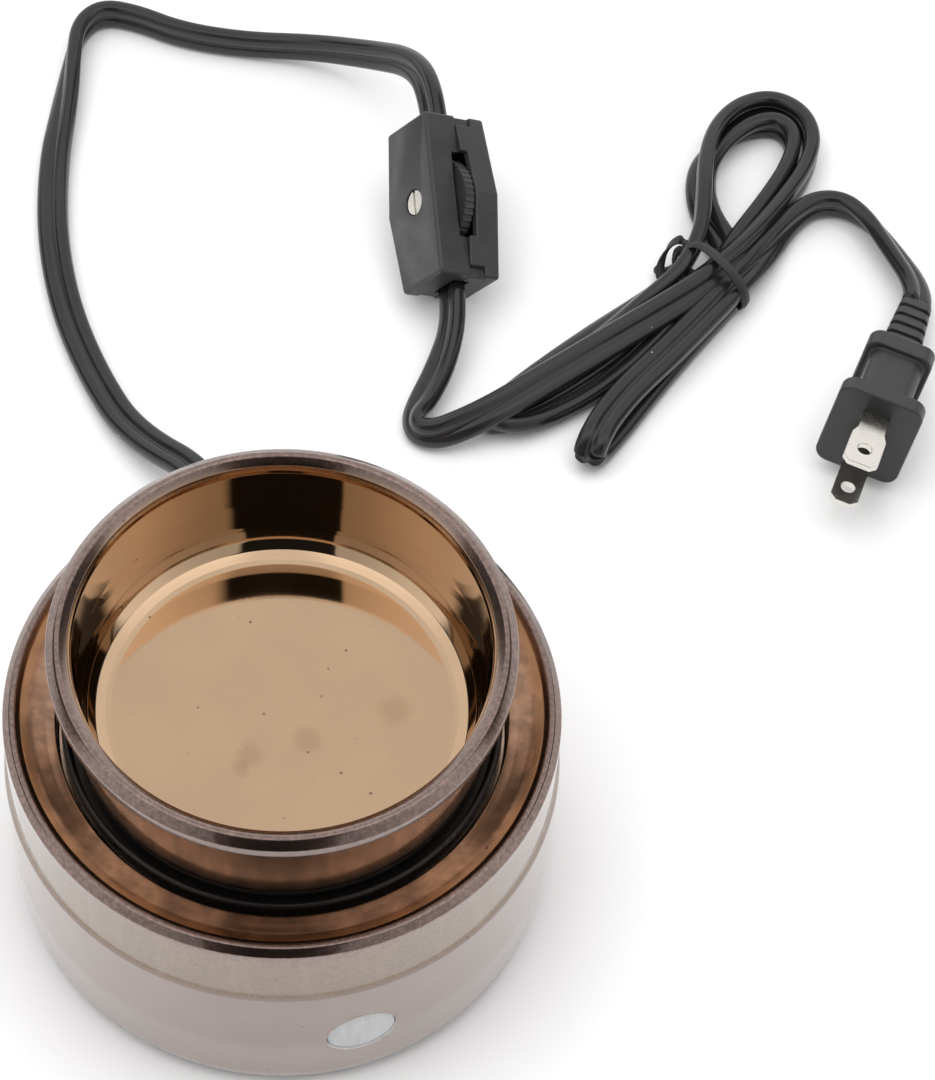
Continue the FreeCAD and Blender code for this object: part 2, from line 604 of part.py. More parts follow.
def build_plug():
    place = plug_place()
    back = PLUG_BACK_Y + PLUG_BACK_T
    save("plug_body", moved(plug_moulding(), place))
    relief_body = None
    pitch = PLUG_RELIEF_L / PLUG_RIBS
    for i in range(PLUG_RIBS):
        w = 10.0 - 1.8 * i / PLUG_RIBS
        h = 7.0 - 1.6 * i / PLUG_RIBS
        y = back + i * pitch
        rib = box(-w / 2, w / 2, y, y + pitch - 0.8, -h / 2, h / 2)
        neck = box(-w / 2 + 0.8, w / 2 - 0.8, y + pitch - 0.8, y + pitch, -h / 2 + 0.8, h / 2 - 0.8)
        piece = rib.fuse(neck)
        relief_body = piece if relief_body is None else relief_body.fuse(piece)
    save("plug_relief", moved(relief_body.removeSplitter(), place))
    save("blade_neutral", moved(blade(BLADE_WIDE, BLADE_GAP / 2), place))
    save("blade_live", moved(blade(BLADE_W, -BLADE_GAP / 2), place))


def blade(tip_width, z):
    """Flat blade: the root is standard width, and a polarised one widens near the tip."""
    root, tip = BLADE_W / 2, tip_width / 2
    chamfer = 1.4
    points = [(-root, 0), (-root, -5.5), (-tip, -7.5), (-tip, -BLADE_L + chamfer),
              (-tip + chamfer, -BLADE_L), (tip - chamfer, -BLADE_L), (tip, -BLADE_L + chamfer),
              (tip, -7.5), (root, -5.5), (root, 0)]
    if tip_width == BLADE_W:
        points = [p for p in points if p[1] != -7.5]
        points = [p for p in points if p[1] != -5.5]
    plate = prism(points, z - BLADE_T / 2, z + BLADE_T / 2)
    return plate.cut(cylinder(BLADE_HOLE_R, z - 2, z + 2, 0, -BLADE_HOLE_Y))


# ---------------------------------------------------------------- everything
save("ceramic_body", ceramic_body())
save("melting_dish", melting_dish())
build_heater()
build_bottom()
build_lamp()
build_inner_wires()
switch = build_switch()
print("wheel centre", [round(c, 3) for c in switch.Base], "axis",
      [round(c, 4) for c in switch.Rotation.multVec(V(1, 0, 0))])
print("plug face", [round(c, 2) for c in plug_place().Base])
build_cord(switch)
build_plug()
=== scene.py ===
# %% [markdown]
# # A wax warmer pot, rebuilt around its CAD model
# The pot is a slip-cast ceramic cup with a metallic bronze glaze. A loose glazed dish sits in its
# top and holds the wax; a hot plate under the dish melts it. A flat twin lead runs from the back
# of the pot to a thumbwheel switch, then through a tied hank to a plug.
# The CAD model is loaded first as a fixed frame. Every visible piece is then either a CAD part with
# a better material, or a new piece that stands in for one.

# %% Load the frame
import math

import bmesh
import bpy
from mathutils import Matrix, Vector


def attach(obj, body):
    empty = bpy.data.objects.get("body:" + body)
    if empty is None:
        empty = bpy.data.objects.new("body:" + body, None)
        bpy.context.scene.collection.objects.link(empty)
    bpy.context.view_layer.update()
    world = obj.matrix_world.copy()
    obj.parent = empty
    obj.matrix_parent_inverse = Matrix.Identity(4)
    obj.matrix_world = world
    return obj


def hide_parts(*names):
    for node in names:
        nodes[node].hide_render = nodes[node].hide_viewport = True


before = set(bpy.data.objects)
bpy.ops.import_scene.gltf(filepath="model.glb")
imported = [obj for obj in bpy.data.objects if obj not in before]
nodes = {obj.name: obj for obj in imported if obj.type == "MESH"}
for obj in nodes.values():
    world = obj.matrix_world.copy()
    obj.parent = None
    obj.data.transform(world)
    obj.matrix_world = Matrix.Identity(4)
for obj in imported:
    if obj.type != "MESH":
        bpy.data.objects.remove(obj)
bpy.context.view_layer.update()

# %% [markdown]
# ## Camera
# A long lens looks down on the pot from the front, steeply enough to see the whole floor of the
# dish. The pot stands left of the middle, so the lens is shifted sideways instead of the camera
# being turned, which would lean the pot over.

# %% Camera
scene = bpy.context.scene
scene.view_settings.view_transform = "Standard"
CAMERA_AT = (0.0, -0.3423, 0.6325)
CAMERA_TILT = math.radians(33.55)
camera_data = bpy.data.cameras.new("camera")
camera_data.sensor_width = 36.0
camera_data.lens = 113.33        # millimetres
camera_data.shift_x = 0.1718
camera = bpy.data.objects.new("camera", camera_data)
camera.location = CAMERA_AT
camera.rotation_euler = (CAMERA_TILT, 0, 0)
scene.collection.objects.link(camera)
scene.camera = camera
print("camera", camera_data.lens, "mm lens")

# %% [markdown]
# ## Table and light
# A mirror-like glaze shows the room more than it shows itself. Lamps alone would leave it black, so
# the light comes from a bright sky with soft edges: a wide panel behind, one on each side, and
# darker gaps between them, which become the dark bands on the walls of the dish.

# %% A small helper for node trees
def add(tree, kind, inputs=None, **settings):
    node = tree.nodes.new(kind)
    for key, value in settings.items():
        setattr(node, key, value)
    for key, value in (inputs or {}).items():
        if isinstance(value, bpy.types.NodeSocket):
            tree.links.new(value, node.inputs[key])
        else:
            node.inputs[key].default_value = value
    return node


def math_node(tree, operation, a, b=0.0):
    return add(tree, "ShaderNodeMath", {0: a, 1: b}, operation=operation).outputs[0]


def soft_step(tree, value, low, high, out_low=0.0, out_high=1.0):
    step = add(tree, "ShaderNodeMapRange", {"Value": value, "From Min": low, "From Max": high,
                                            "To Min": out_low, "To Max": out_high},
               interpolation_type="SMOOTHSTEP")
    return step.outputs["Result"]


# %% Studio sky
SKY_BRIGHT = 1.12
BACK_DIM = 0.16            # the panel behind is a little dimmer, so the dish's floor isn't white
GAP_DEPTH = 0.97           # how much of the light the gaps between the panels take away
FRONT_DIM = 0.45           # the sky low over the camera is dimmer
OVERHEAD = 0.40            # and the sky high at the sides is brighter
DARKEST = 0.015


def sky():
    world = bpy.data.worlds.new("studio")
    world.use_nodes = True
    tree = world.node_tree
    tree.nodes.clear()
    way = add(tree, "ShaderNodeTexCoord").outputs["Generated"]
    parts = add(tree, "ShaderNodeSeparateXYZ", {0: way})
    x, y, z = parts.outputs
    azimuth = math_node(tree, "ARCTAN2", x, y)          # 0 behind the pot, +-pi at the camera
    side = math_node(tree, "ABSOLUTE", azimuth)
    height = math_node(tree, "ARCSINE", z)

    def window(value, low_out, low_in, high_in, high_out):
        """1 between the two inner angles and 0 past the outer ones, with soft edges."""
        rises = soft_step(tree, value, math.radians(low_out), math.radians(low_in))
        falls = soft_step(tree, value, math.radians(high_out), math.radians(high_in))
        return math_node(tree, "MULTIPLY", rises, falls)

    # the dark room behind the camera widens downwards, sharp on its left and soft on its right
    spread = math_node(tree, "DIVIDE", x, math_node(tree, "MAXIMUM", z, 0.05))
    reach = math_node(tree, "DIVIDE", y, math_node(tree, "MAXIMUM", z, 0.05))
    left_edge = math_node(tree, "ADD", math_node(tree, "MULTIPLY", reach, 0.38), -0.16)
    right_edge = math_node(tree, "ADD", math_node(tree, "MULTIPLY", reach, -0.20), 0.20)
    inside_left = soft_step(tree, math_node(tree, "SUBTRACT", spread, left_edge), -0.02, 0.02)
    inside_right = soft_step(tree, math_node(tree, "SUBTRACT", right_edge, spread), -0.10, 0.06)
    front = math_node(tree, "MULTIPLY", math_node(tree, "MULTIPLY", inside_left, inside_right),
                      math_node(tree, "LESS_THAN", y, 0.0))
    front = math_node(tree, "MULTIPLY", front, window(height, 3, 9, 61, 69))
    # the gaps between the table and the panels at both sides
    low = math_node(tree, "MULTIPLY", window(side, 40, 52, 86, 96), window(height, 12, 20, 38, 46))
    dark = math_node(tree, "MAXIMUM", front, math_node(tree, "MULTIPLY", low, GAP_DEPTH))
    panel = math_node(tree, "MULTIPLY", soft_step(tree, side, math.radians(45), math.radians(15)),
                      window(height, 40, 50, 70, 84))
    light = math_node(tree, "SUBTRACT", 1.0, math_node(tree, "MULTIPLY", dark, GAP_DEPTH))
    light = math_node(tree, "SUBTRACT", light, math_node(tree, "MULTIPLY", panel, BACK_DIM))
    shy = math_node(tree, "MULTIPLY", window(side, 95, 150, 181, 182), window(height, 0, 10, 60, 75))
    light = math_node(tree, "SUBTRACT", light, math_node(tree, "MULTIPLY", shy, FRONT_DIM))
    above = math_node(tree, "MULTIPLY", window(side, 40, 70, 135, 150), window(height, 58, 64, 80, 88))
    light = math_node(tree, "ADD", light, math_node(tree, "MULTIPLY", above, OVERHEAD))
    light = math_node(tree, "MAXIMUM", light, DARKEST)
    strength = math_node(tree, "MULTIPLY", light, SKY_BRIGHT)
    back = add(tree, "ShaderNodeBackground", {"Color": (1.0, 1.0, 1.0, 1), "Strength": strength})
    add(tree, "ShaderNodeOutputWorld", {"Surface": back.outputs[0]})
    scene.world = world


sky()

# %% Table
table_mesh = bpy.data.meshes.new("table")
HALF_TABLE = 3.0
table_mesh.from_pydata([(-HALF_TABLE, -HALF_TABLE, 0), (HALF_TABLE, -HALF_TABLE, 0),
                        (HALF_TABLE, HALF_TABLE, 0), (-HALF_TABLE, HALF_TABLE, 0)], [], [(0, 1, 2, 3)])
table_top = bpy.data.objects.new("table", table_mesh)
table_top.location.z = -0.0002
scene.collection.objects.link(table_top)
white = bpy.data.materials.new("white_paper")
white.use_nodes = True
white.node_tree.nodes["Principled BSDF"].inputs["Base Color"].default_value = (0.94, 0.94, 0.94, 1)
white.node_tree.nodes["Principled BSDF"].inputs["Roughness"].default_value = 0.9
table_mesh.materials.append(white)

key_data = bpy.data.lights.new("key", "AREA")
key_data.shape = "RECTANGLE"
key_data.size, key_data.size_y = 1.6, 1.6
key_data.energy = 12.0
key = bpy.data.objects.new("key", key_data)
key.location = (-0.15, -0.10, 1.35)
key.visible_glossy = False
key.rotation_euler = (Vector((0, 0.05, 0.05)) - key.location).to_track_quat("-Z", "Y").to_euler()
scene.collection.objects.link(key)
print("sky, table and one key light")

# %% [markdown]
# ## Finishes
# Each finish is one Principled shader with a little noise: a shader's constants go on its own
# sockets, and colour, roughness and bump are fed from textures, in the glaze the metallic too.
# Object coordinates are in metres here, so a scale of 1000 gives a grain about a millimetre across.

# %% Finish helpers
def new_finish(name, colour, rough, metal=0.0, **extra):
    material = bpy.data.materials.new(name)
    material.use_nodes = True
    tree = material.node_tree
    shader = tree.nodes["Principled BSDF"]
    shader.inputs["Base Color"].default_value = (*colour, 1)
    shader.inputs["Roughness"].default_value = rough
    shader.inputs["Metallic"].default_value = metal
    for key, value in extra.items():
        shader.inputs[key.replace("_", " ")].default_value = value
    return material, tree, shader


def grain(tree, scale, detail=3.0, rough=0.55, coords=None):
    if coords is None:
        coords = add(tree, "ShaderNodeTexCoord").outputs["Object"]
    return add(tree, "ShaderNodeTexNoise", {"Vector": coords, "Scale": scale, "Detail": detail,
                                            "Roughness": rough}).outputs["Fac"]


def mix_colour(tree, amount, a, b):
    node = add(tree, "ShaderNodeMix", data_type="RGBA")
    for socket, value in ((node.inputs[0], amount), (node.inputs[6], a), (node.inputs[7], b)):
        if isinstance(value, bpy.types.NodeSocket):
            tree.links.new(value, socket)
        else:
            socket.default_value = (*value, 1) if isinstance(value, tuple) else value
    return node.outputs[2]


def bump(tree, shader, height, strength, distance=0.0002, under=None):
    node = add(tree, "ShaderNodeBump", {"Height": height, "Strength": strength, "Distance": distance})
    if under is not None:
        tree.links.new(under, node.inputs["Normal"])
    tree.links.new(node.outputs[0], shader.inputs["Normal"])
    return node.outputs[0]


def plain(name, colour, rough, metal=0.0, scale=900.0, spread=0.12, depth=0.1, **extra):
    """A finish with mottled colour, uneven gloss and a fine bump."""
    material, tree, shader = new_finish(name, colour, rough, metal, **extra)
    mottle = grain(tree, scale)
    darker = tuple(c * (1 - spread) for c in colour)
    lighter = tuple(min(1.0, c * (1 + spread)) for c in colour)
    tree.links.new(mix_colour(tree, mottle, darker, lighter), shader.inputs["Base Color"])
    gloss = soft_step(tree, grain(tree, scale * 0.31), 0.3, 0.7, rough * 0.85, min(1.0, rough * 1.15))
    tree.links.new(gloss, shader.inputs["Roughness"])
    bump(tree, shader, grain(tree, scale * 2.3), depth, 0.00005)
    return material


# %% Black PVC of the lead, the switch and the plug
def black_pvc(name, rough, dust=0.66, shade=0.016):
    material, tree, shader = new_finish(name, (shade, shade, shade * 1.02), rough, 0.0)
    coords = add(tree, "ShaderNodeTexCoord").outputs["Object"]
    cloud = grain(tree, 90.0, 4.0, 0.6, coords)
    fine = grain(tree, 2600.0, 2.0, 0.5, coords)
    spots = add(tree, "ShaderNodeTexVoronoi", {"Vector": coords, "Scale": 210.0, "Randomness": 1.0})
    spot = soft_step(tree, spots.outputs["Distance"], 0.075, 0.03)
    rare = soft_step(tree, grain(tree, 60.0, 2.0, 0.5, coords), dust, dust + 0.03)
    speck = math_node(tree, "MULTIPLY", spot, rare)
    body = mix_colour(tree, cloud, (shade * 0.75,) * 3, (shade * 1.5,) * 3)
    tree.links.new(mix_colour(tree, speck, body, (0.42, 0.42, 0.41)), shader.inputs["Base Color"])
    gloss = soft_step(tree, cloud, 0.3, 0.7, rough * 0.85, rough * 1.2)
    tree.links.new(gloss, shader.inputs["Roughness"])
    bump(tree, shader, fine, 0.10, 0.00004)
    return material


LEAD_BLACK = black_pvc("lead_black", 0.23, 0.62, 0.012)
SWITCH_BLACK = black_pvc("switch_black", 0.42, 0.7, 0.028)
PLUG_BLACK = black_pvc("plug_black", 0.40, 0.7, 0.022)
TIE_BLACK = black_pvc("tie_black", 0.5, 0.9, 0.020)
NICKEL = plain("nickel_plate", (0.72, 0.69, 0.64), 0.24, 1.0, 1500.0, 0.08, 0.06)
print("black and nickel finishes ready")

# %% [markdown]
# ## Thrown forms
# The pot, its dish and the lamp's lens are all turned shapes: one outline spun round an axis. The
# outline is given by its corners, each with its own rounding, because a glaze softens every edge.
# A Geometry Nodes tree then bends a flat grid round the axis: each row of the grid reads one point
# of the outline. A number called zone rides along and tells the glaze where it is.

# %% Rounded outline
def rounded_outline(corners, step=0.9, fillet_steps=7):
    """corners are (radius, height, rounding, zone) in millimetres; returns points in metres."""
    points = []
    for i, (x, z, rounding, zone) in enumerate(corners):
        here = Vector((x, z))
        if rounding == 0 or i in (0, len(corners) - 1):
            points.append((here, zone))
            continue
        before = Vector(corners[i - 1][:2]) - here
        after = Vector(corners[i + 1][:2]) - here
        half = before.angle(after) / 2
        reach = min(rounding / math.tan(half), before.length * 0.49, after.length * 0.49)
        start, end = here + before.normalized() * reach, here + after.normalized() * reach
        for k in range(fillet_steps + 1):
            t = k / fillet_steps
            spot = start.lerp(here, t).lerp(here.lerp(end, t), t)
            points.append((spot, zone))
    dense = []
    for (a, za), (b, zb) in zip(points, points[1:]):
        parts = max(1, math.ceil((b - a).length / step))
        dense += [(a.lerp(b, k / parts), za + (zb - za) * k / parts) for k in range(parts)]
    dense.append(points[-1])
    return [((p.x / 1000, p.y / 1000), zone) for p, zone in dense]


# %% Lathe as a node tree
def lathe_tree():
    tree = bpy.data.node_groups.new("lathe", "GeometryNodeTree")
    face = tree.interface
    face.new_socket("Outline", in_out="INPUT", socket_type="NodeSocketGeometry")
    face.new_socket("Segments", in_out="INPUT", socket_type="NodeSocketInt").default_value = 200
    face.new_socket("Material", in_out="INPUT", socket_type="NodeSocketMaterial")
    face.new_socket("Turned", in_out="OUTPUT", socket_type="NodeSocketGeometry")
    given = tree.nodes.new("NodeGroupInput").outputs
    link = tree.links.new

    def number(operation, a, b=0.0):
        return math_node(tree, operation, a, b)

    size = add(tree, "GeometryNodeAttributeDomainSize", {"Geometry": given["Outline"]})
    rows = size.outputs["Point Count"]
    grid = add(tree, "GeometryNodeMeshGrid", {"Size X": 1.0, "Size Y": 1.0, "Vertices Y": rows})
    link(number("ADD", given["Segments"], 1.0), grid.inputs["Vertices X"])
    place = add(tree, "ShaderNodeSeparateXYZ", {0: add(tree, "GeometryNodeInputPosition").outputs[0]})
    turn = number("MULTIPLY", number("ADD", place.outputs[0], 0.5), 2 * math.pi)
    row = number("ROUND", number("MULTIPLY", number("ADD", place.outputs[1], 0.5),
                                 number("SUBTRACT", rows, 1.0)))
    spot = add(tree, "GeometryNodeSampleIndex", {"Geometry": given["Outline"]},
               data_type="FLOAT_VECTOR", domain="POINT")
    link(add(tree, "GeometryNodeInputPosition").outputs[0], spot.inputs["Value"])
    link(row, spot.inputs["Index"])
    named = add(tree, "GeometryNodeInputNamedAttribute", {"Name": "zone"}, data_type="FLOAT")
    zone = add(tree, "GeometryNodeSampleIndex", {"Geometry": given["Outline"]},
               data_type="FLOAT", domain="POINT")
    link(named.outputs["Attribute"], zone.inputs["Value"])
    link(row, zone.inputs["Index"])
    reach = add(tree, "ShaderNodeSeparateXYZ", {0: spot.outputs[0]})
    bent = add(tree, "ShaderNodeCombineXYZ", {
        0: number("MULTIPLY", reach.outputs[0], number("COSINE", turn)),
        1: number("MULTIPLY", reach.outputs[0], number("SINE", turn)), 2: reach.outputs[2]})
    marked = add(tree, "GeometryNodeStoreNamedAttribute",
                 {"Geometry": grid.outputs["Mesh"], "Name": "zone", "Value": zone.outputs[0]},
                 data_type="FLOAT", domain="POINT")
    moved = add(tree, "GeometryNodeSetPosition", {"Geometry": marked.outputs[0],
                                                  "Position": bent.outputs[0]})
    joined = add(tree, "GeometryNodeMergeByDistance", {"Geometry": moved.outputs[0],
                                                       "Distance": 0.000002})
    real = add(tree, "GeometryNodeRealizeInstances", {"Geometry": joined.outputs[0]})
    coated = add(tree, "GeometryNodeSetMaterial", {"Geometry": real.outputs[0],
                                                   "Material": given["Material"]})
    add(tree, "NodeGroupOutput", {0: coated.outputs[0]})
    return tree


LATHE = lathe_tree()


def fill_inputs(modifier, tree, values):
    for item in tree.interface.items_tree:
        if item.item_type == "SOCKET" and item.in_out == "INPUT" and item.name in values:
            modifier[item.identifier] = values[item.name]


def baked(name, holder):
    """The evaluated holder as a plain mesh object, smooth, with its faces outwards."""
    graph = bpy.context.evaluated_depsgraph_get()
    mesh = bpy.data.meshes.new_from_object(holder.evaluated_get(graph))
    mesh.name = name
    work = bmesh.new()
    work.from_mesh(mesh)
    bmesh.ops.remove_doubles(work, verts=work.verts, dist=0.000001)
    bmesh.ops.dissolve_degenerate(work, edges=work.edges, dist=0.0000005)
    bmesh.ops.recalc_face_normals(work, faces=work.faces)
    for face in work.faces:
        face.smooth = True
    work.to_mesh(mesh)
    work.free()
    bpy.data.objects.remove(holder)
    piece = bpy.data.objects.new(name, mesh)
    scene.collection.objects.link(piece)
    return piece


def turn_on_lathe(name, corners, material, segments=240, step=0.9):
    outline = rounded_outline(corners, step)
    mesh = bpy.data.meshes.new(name + "_outline")
    links = [(i, i + 1) for i in range(len(outline) - 1)]
    mesh.from_pydata([(x, 0, z) for (x, z), _ in outline], links, [])
    mark = mesh.attributes.new("zone", "FLOAT", "POINT")
    for i, (_, zone) in enumerate(outline):
        mark.data[i].value = zone
    holder = bpy.data.objects.new(name + "_outline", mesh)
    scene.collection.objects.link(holder)
    modifier = holder.modifiers.new("lathe", "NODES")
    modifier.node_group = LATHE
    fill_inputs(modifier, LATHE, {"Segments": segments, "Material": material})
    piece = baked(name, holder)
    print(name, "outline", len(outline), "points,", len(piece.data.polygons), "faces")
    return piece


# %% [markdown]
# ## Bronze glaze
# The glaze fires to a metal mirror where it is thick, inside the dish and on the shoulder. On the
# rims it has worn to a matte purple-brown, on the band below the rim it broke into a pale speckle,
# and lower down it is a thin pearly wash. The four looks share one shader: the zone number picks
# colour and roughness, and a fine speckle makes the borders uneven.

# %% Glaze
SHOULDER, MIRROR, RIM, BAND, WASH = -1.0, 0.0, 1.0, 2.0, 3.0
GLAZE = {"shoulder": (0.50, 0.335, 0.235), "mirror": (0.525, 0.345, 0.200),
         "rim": (0.215, 0.138, 0.115), "band": (0.235, 0.165, 0.112), "wash": (0.225, 0.155, 0.128)}
SMUDGES = (((-0.0062, -0.0108, 0.0568), 0.0030), ((-0.0080, -0.0140, 0.0568), 0.0022),
           ((0.0050, -0.0075, 0.0568), 0.0032), ((0.0220, -0.0009, 0.0568), 0.0040))


def bronze_glaze(name, mirror_rough):
    material, tree, shader = new_finish(name, GLAZE["mirror"], 0.1, 1.0, Coat_Weight=1.0,
                                        Coat_IOR=1.6, Coat_Roughness=0.05)
    coords = add(tree, "ShaderNodeTexCoord").outputs["Object"]
    cloud = grain(tree, 55.0, 4.0, 0.6, coords)
    fine = grain(tree, 1700.0, 3.0, 0.6, coords)
    speckle = grain(tree, 1100.0, 4.0, 0.7, coords)
    upright = add(tree, "ShaderNodeMapping", {"Vector": coords, "Scale": (1.0, 1.0, 0.12)}).outputs[0]
    streaks = grain(tree, 240.0, 3.0, 0.6, upright)
    zone = add(tree, "ShaderNodeAttribute", attribute_name="zone").outputs["Fac"]
    wander = math_node(tree, "MULTIPLY", math_node(tree, "SUBTRACT", speckle, 0.5), 0.55)
    zone = math_node(tree, "ADD", zone, wander)
    is_shoulder = soft_step(tree, zone, -0.25, -0.85)
    is_rim = soft_step(tree, zone, 0.3, 0.8)
    is_band = soft_step(tree, zone, 1.2, 1.9)
    is_wash = soft_step(tree, zone, 2.3, 2.8)

    def shades(tone, dark, light, pattern, low=0.3, high=0.7):
        deep = tuple(c * dark for c in GLAZE[tone])
        pale = tuple(c * light for c in GLAZE[tone])
        return mix_colour(tree, soft_step(tree, pattern, low, high), deep, pale)

    mirror = shades("mirror", 0.96, 1.03, cloud)
    shoulder = shades("shoulder", 0.72, 1.25, streaks)
    rim = shades("rim", 0.68, 1.2, speckle, 0.35, 0.68)
    band = shades("band", 0.86, 1.12, speckle, 0.3, 0.72)
    band = mix_colour(tree, soft_step(tree, streaks, 0.5, 0.75, 0.0, 0.35), band, (0.33, 0.25, 0.19))
    wash = shades("wash", 0.95, 1.05, cloud)
    colour = mix_colour(tree, is_shoulder, mirror, shoulder)
    colour = mix_colour(tree, is_rim, colour, rim)
    colour = mix_colour(tree, is_band, colour, band)
    colour = mix_colour(tree, is_wash, colour, wash)
    # pits and brown smudges in the mirror
    pits = add(tree, "ShaderNodeTexVoronoi", {"Vector": coords, "Scale": 260.0})
    pit = soft_step(tree, pits.outputs["Distance"], 0.11, 0.05)
    rare = soft_step(tree, grain(tree, 60.0, 2.0, 0.5, coords), 0.53, 0.56)
    pit = math_node(tree, "MULTIPLY", pit, rare)
    for spot, size in SMUDGES:
        away = add(tree, "ShaderNodeVectorMath", {0: coords, 1: spot}, operation="DISTANCE")
        torn = math_node(tree, "MULTIPLY", grain(tree, 300.0, 4.0, 0.6, coords), size)
        ragged = math_node(tree, "ADD", away.outputs["Value"], torn)
        stain = soft_step(tree, ragged, size * 1.7, size * 0.8, 0.0, 0.42)
        colour = mix_colour(tree, stain, colour, (0.36, 0.20, 0.10))
    colour = mix_colour(tree, math_node(tree, "MULTIPLY", pit, 0.8), colour, (0.09, 0.05, 0.03))
    tree.links.new(colour, shader.inputs["Base Color"])
    # gloss
    rough = soft_step(tree, cloud, 0.3, 0.75, mirror_rough, mirror_rough * 1.6)
    metal = 1.0
    for mask, value in ((is_shoulder, 0.24), (is_rim, 0.24), (is_band, 0.42), (is_wash, 0.30)):
        rough = add(tree, "ShaderNodeMix", {0: mask, 2: rough, 3: value}, data_type="FLOAT").outputs[0]
    for mask, value in ((is_band, 0.75), (is_wash, 0.15)):
        metal = add(tree, "ShaderNodeMix", {0: mask, 2: metal, 3: value}, data_type="FLOAT").outputs[0]
    tree.links.new(rough, shader.inputs["Roughness"])
    tree.links.new(metal, shader.inputs["Metallic"])
    # surface
    matte = math_node(tree, "MAXIMUM", is_rim, math_node(tree, "MULTIPLY", is_shoulder, 0.25))
    matte = math_node(tree, "SUBTRACT", matte, math_node(tree, "MULTIPLY", is_wash, 0.9))
    grit = math_node(tree, "MULTIPLY", fine, math_node(tree, "ADD", matte, 0.05))
    wave = math_node(tree, "MULTIPLY", grain(tree, 110.0, 2.0, 0.5, coords), 0.6)
    height = math_node(tree, "ADD", grit, wave)
    height = math_node(tree, "SUBTRACT", height, math_node(tree, "MULTIPLY", pit, 0.9))
    bump(tree, shader, height, 0.18, 0.00008)
    return material


POT_GLAZE = bronze_glaze("pot_glaze", 0.16)
DISH_GLAZE = bronze_glaze("dish_glaze", 0.045)

# %% [markdown]
# ## The pot
# The wall bellies out a little and ends in a foot. Below the rim a shallow step marks off the
# band. Inside the rim the shoulder slopes to the well, where the hot pan hangs.

# %% Pot
POT_OUTLINE = [
    (51.2, 2.0, 0, WASH), (53.9, 2.0, 1.4, WASH), (55.1, 6.0, 5.0, WASH), (55.95, 20.0, 40.0, WASH),
    (55.75, 40.1, 0.7, WASH), (55.05, 41.4, 0.9, BAND), (55.05, 44.0, 1.0, BAND), (55.0, 53.0, 3.0, BAND),
    (55.0, 56.9, 0.5, 1.25), (53.6, 58.25, 0.8, RIM), (52.6, 58.3, 0.6, RIM), (51.5, 56.9, 1.2, 0.3),
    (49.2, 55.7, 6.0, SHOULDER), (46.6, 54.9, 6.0, SHOULDER), (44.5, 54.4, 0.7, SHOULDER),
    (44.4, 49.5, 0.3, SHOULDER), (38.0, 49.5, 0.3, SHOULDER), (38.0, 46.0, 0.3, SHOULDER),
    (46.6, 46.0, 3.0, WASH), (50.6, 42.0, 6.0, WASH), (51.3, 22.0, 20.0, WASH), (49.7, 5.0, 0.3, WASH),
    (51.2, 5.0, 0.2, WASH), (51.2, 2.0, 0, WASH)]
LAMP_TURN = math.radians(-73.6)
LAMP_UP = 0.022
LENS_RADIUS = 0.00695
LENS_GAP = 0.00022
EXIT_TURN = math.radians(100.0)
EXIT_UP = 0.0125
EXIT_RADIUS = 0.0049


def facing(turn, up):
    """A frame on the wall: its Z points straight out of the pot at this turn and height."""
    out = Vector((math.cos(turn), math.sin(turn), 0))
    side = Vector((0, 0, 1)).cross(out)
    return Matrix.Translation((0, 0, up)) @ Matrix((side, Vector((0, 0, 1)), out)).transposed().to_4x4()


def drill(piece, turn, up, radius):
    """Cuts a round hole through the wall."""
    work = bmesh.new()
    bmesh.ops.create_cone(work, cap_ends=True, segments=96, radius1=radius, radius2=radius, depth=0.030,
                          matrix=facing(turn, up) @ Matrix.Translation((0, 0, 0.055)))
    mesh = bpy.data.meshes.new("drill")
    work.to_mesh(mesh)
    work.free()
    bit = bpy.data.objects.new("drill", mesh)
    scene.collection.objects.link(bit)
    cut = piece.modifiers.new("drill", "BOOLEAN")
    cut.object, cut.operation, cut.solver = bit, "DIFFERENCE", "EXACT"
    graph = bpy.context.evaluated_depsgraph_get()
    drilled = bpy.data.meshes.new_from_object(piece.evaluated_get(graph))
    piece.modifiers.remove(cut)
    old = piece.data
    piece.data = drilled
    drilled.name = piece.name
    bpy.data.meshes.remove(old)
    bpy.data.objects.remove(bit)
    bpy.data.meshes.remove(mesh)


pot = turn_on_lathe("pot_shell", POT_OUTLINE, POT_GLAZE, 240, 1.1)
drill(pot, LAMP_TURN, LAMP_UP, LENS_RADIUS + LENS_GAP)
drill(pot, EXIT_TURN, EXIT_UP, EXIT_RADIUS)
pot.data.set_sharp_from_angle(angle=math.radians(38))
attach(pot, "base")
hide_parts("ceramic_body")

# %% [markdown]
# ## The melting dish
# The dish stands on a flat foot in the hot pan. Its wall leans out to a thick rolled rim, and a
# cove joins the wall to the mirror-flat floor.

# %% Dish
DISH_OUTLINE = [
    (0, 52.0, 0, MIRROR), (37.6, 52.0, 0.8, MIRROR), (40.4, 54.2, 3.0, SHOULDER),
    (41.6, 58.5, 6.0, SHOULDER), (43.15, 76.6, 0.9, SHOULDER), (44.2, 77.5, 0.6, 0.6),
    (45.2, 78.7, 0.8, RIM), (45.25, 80.9, 0.5, RIM), (43.1, 82.7, 1.3, 0.85), (41.0, 81.2, 0.5, 0.6),
    (40.7, 79.9, 0.3, 0.4), (40.4, 79.3, 0.4, MIRROR), (39.9, 69.6, 14.0, MIRROR),
    (39.15, 61.6, 2.0, MIRROR), (38.4, 59.2, 1.8, MIRROR), (36.7, 57.55, 0.9, MIRROR),
    (34.7, 57.0, 0.5, MIRROR), (33.6, 56.8, 1.2, MIRROR), (0, 56.8, 0, MIRROR)]
dish = turn_on_lathe("wax_dish", DISH_OUTLINE, DISH_GLAZE, 240, 1.1)
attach(dish, "dish")
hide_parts("melting_dish")

